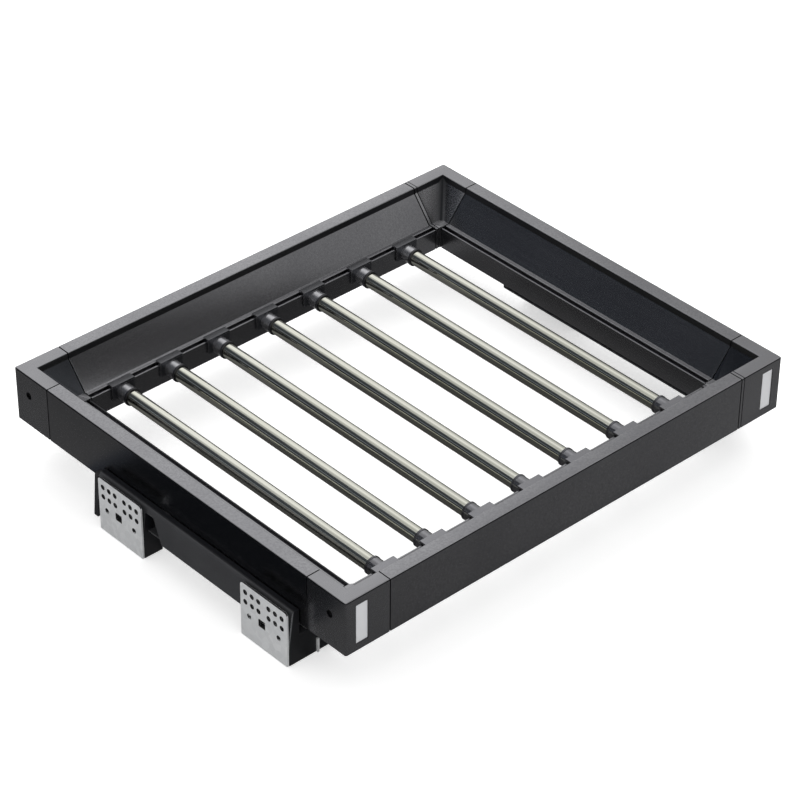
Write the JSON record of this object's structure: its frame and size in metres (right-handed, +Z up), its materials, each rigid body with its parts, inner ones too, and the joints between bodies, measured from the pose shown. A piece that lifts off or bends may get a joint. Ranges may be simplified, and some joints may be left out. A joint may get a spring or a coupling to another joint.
{
  "type": "pull-out trouser rack",
  "caption": "Pull-out wardrobe rack for trousers: an open aluminium frame with round hanging bars clipped across it, on roller slides with screw plates for the cabinet sides.",
  "frame": {"origin": "under the middle of the frame, at the height of the side plates' lower edges", "axes": "+X across the wardrobe to the right seen from the front, +Y from the front to the back, +Z up; the rack pulls out towards -Y"},
  "size_m": [0.5638, 0.4564, 0.0972],
  "materials": {
    "rail_aluminium": "anodised dark grey, satin",
    "corner_plastic": "moulded dark grey, fine texture",
    "cover_plastic": "moulded light grey",
    "bar_metal": "polished, pale champagne",
    "clip_plastic": "moulded dark grey, glossy",
    "black_steel": "black powder coat, satin",
    "zinc_steel": "galvanised",
    "cap_plastic": "moulded black",
    "cage_plastic": "moulded grey",
    "roller_plastic": "smooth off-white",
    "screw_steel": "zinc plated",
    "bumper_rubber": "soft rubber"
  },
  "bodies": {
    "cabinet_side": {"left_apron_clip": "zinc_steel", "left_fixed_member": "zinc_steel", "left_front_bracket": "zinc_steel", "left_housing": "black_steel", "left_rear_bracket": "zinc_steel", "left_rear_cap": "cap_plastic", "right_apron_clip": "zinc_steel", "right_fixed_member": "zinc_steel", "right_front_bracket": "zinc_steel", "right_housing": "black_steel", "right_rear_bracket": "zinc_steel", "right_rear_cap": "cap_plastic", "bracket_rivets": "zinc_steel", "closing_bumpers": "bumper_rubber"},
    "basket": {"front_rail": "rail_aluminium", "rear_rail": "rail_aluminium", "left_rail": "rail_aluminium", "right_rail": "rail_aluminium", "front_left_corner": "corner_plastic", "front_right_corner": "corner_plastic", "rear_left_corner": "corner_plastic", "rear_right_corner": "corner_plastic", "corner_screws": "screw_steel", "left_screw_cover": "cover_plastic", "right_screw_cover": "cover_plastic", "left_drawer_member": "zinc_steel", "right_drawer_member": "zinc_steel", "seat_screws": "screw_steel"},
    "middle_members": {"left_middle_member": "zinc_steel", "right_middle_member": "zinc_steel"},
    "lower_cages": {"left_lower_cage": "cage_plastic", "left_lower_rollers": "roller_plastic", "right_lower_cage": "cage_plastic", "right_lower_rollers": "roller_plastic"},
    "upper_cages": {"left_upper_cage": "cage_plastic", "left_upper_rollers": "roller_plastic", "right_upper_cage": "cage_plastic", "right_upper_rollers": "roller_plastic"},
    "bar_1": {"bar_1": "bar_metal", "bar_1_front_clip": "clip_plastic", "bar_1_rear_clip": "clip_plastic"},
    "bar_2": {"bar_2": "bar_metal", "bar_2_front_clip": "clip_plastic", "bar_2_rear_clip": "clip_plastic"},
    "bar_3": {"bar_3": "bar_metal", "bar_3_front_clip": "clip_plastic", "bar_3_rear_clip": "clip_plastic"},
    "bar_4": {"bar_4": "bar_metal", "bar_4_front_clip": "clip_plastic", "bar_4_rear_clip": "clip_plastic"},
    "bar_5": {"bar_5": "bar_metal", "bar_5_front_clip": "clip_plastic", "bar_5_rear_clip": "clip_plastic"},
    "bar_6": {"bar_6": "bar_metal", "bar_6_front_clip": "clip_plastic", "bar_6_rear_clip": "clip_plastic"},
    "bar_7": {"bar_7": "bar_metal", "bar_7_front_clip": "clip_plastic", "bar_7_rear_clip": "clip_plastic"}
  },
  "joints": [
    {"name": "pull_out", "type": "slide", "parent": "cabinet_side", "child": "basket", "axis": [0, -1, 0], "range_m": [0, 0.265]},
    {"name": "middle_travel", "type": "slide", "parent": "cabinet_side", "child": "middle_members", "axis": [0, -1, 0], "range_m": [0, 0.1325]},
    {"name": "lower_cage_travel", "type": "slide", "parent": "cabinet_side", "child": "lower_cages", "axis": [0, -1, 0], "range_m": [0, 0.06625]},
    {"name": "upper_cage_travel", "type": "slide", "parent": "cabinet_side", "child": "upper_cages", "axis": [0, -1, 0], "range_m": [0, 0.19875]},
    {"name": "bar_1_shift", "type": "slide", "parent": "basket", "child": "bar_1", "axis": [1, 0, 0], "range_m": [-0.012, 0.012]},
    {"name": "bar_2_shift", "type": "slide", "parent": "basket", "child": "bar_2", "axis": [1, 0, 0], "range_m": [-0.012, 0.012]},
    {"name": "bar_3_shift", "type": "slide", "parent": "basket", "child": "bar_3", "axis": [1, 0, 0], "range_m": [-0.012, 0.012]},
    {"name": "bar_4_shift", "type": "slide", "parent": "basket", "child": "bar_4", "axis": [1, 0, 0], "range_m": [-0.012, 0.012]},
    {"name": "bar_5_shift", "type": "slide", "parent": "basket", "child": "bar_5", "axis": [1, 0, 0], "range_m": [-0.012, 0.012]},
    {"name": "bar_6_shift", "type": "slide", "parent": "basket", "child": "bar_6", "axis": [1, 0, 0], "range_m": [-0.012, 0.012]},
    {"name": "bar_7_shift", "type": "slide", "parent": "basket", "child": "bar_7", "axis": [1, 0, 0], "range_m": [-0.012, 0.012]}
  ],
  "couplings": [
    {"joint": "middle_travel", "follows": "pull_out", "ratio": 0.5},
    {"joint": "lower_cage_travel", "follows": "pull_out", "ratio": 0.25},
    {"joint": "upper_cage_travel", "follows": "pull_out", "ratio": 0.75}
  ]
}
